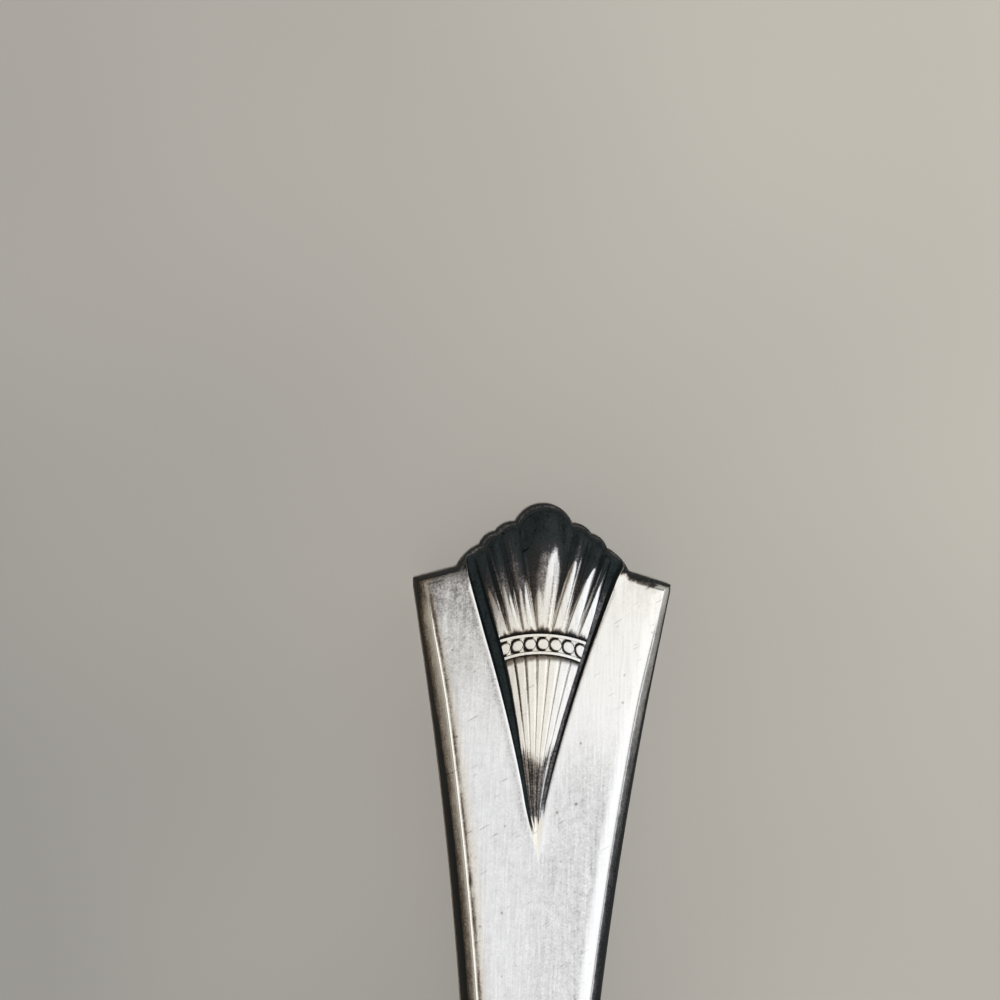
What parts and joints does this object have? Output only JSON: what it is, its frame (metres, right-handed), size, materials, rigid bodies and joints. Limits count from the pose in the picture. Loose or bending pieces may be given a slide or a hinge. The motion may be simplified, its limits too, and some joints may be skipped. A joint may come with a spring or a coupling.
{
  "type": "butter knife",
  "caption": "Butter knife with a flat-faced hollow handle that flares to a lobed, fluted fan end, a collared bolster and a round-tipped spreading blade.",
  "frame": {"origin": "under the middle of the knife's box, on the plane of the handle's back face, which lies on the table", "axes": "+Y along the knife from the blade's tip to the handle's fan end, +Z out of the handle's front face, +X towards the blade's spine"},
  "size_m": [0.019, 0.1652, 0.0064],
  "materials": {
    "silver_plate": "satin",
    "solder": "satin",
    "stainless_steel": "polished",
    "cement": "matte"
  },
  "bodies": {
    "root": {"handle_front_shell": "silver_plate", "handle_back_shell": "silver_plate", "seam_solder": "solder", "mouth_ferrule": "silver_plate", "tang_cement": "cement", "blade": "stainless_steel"}
  },
  "joints": []
}
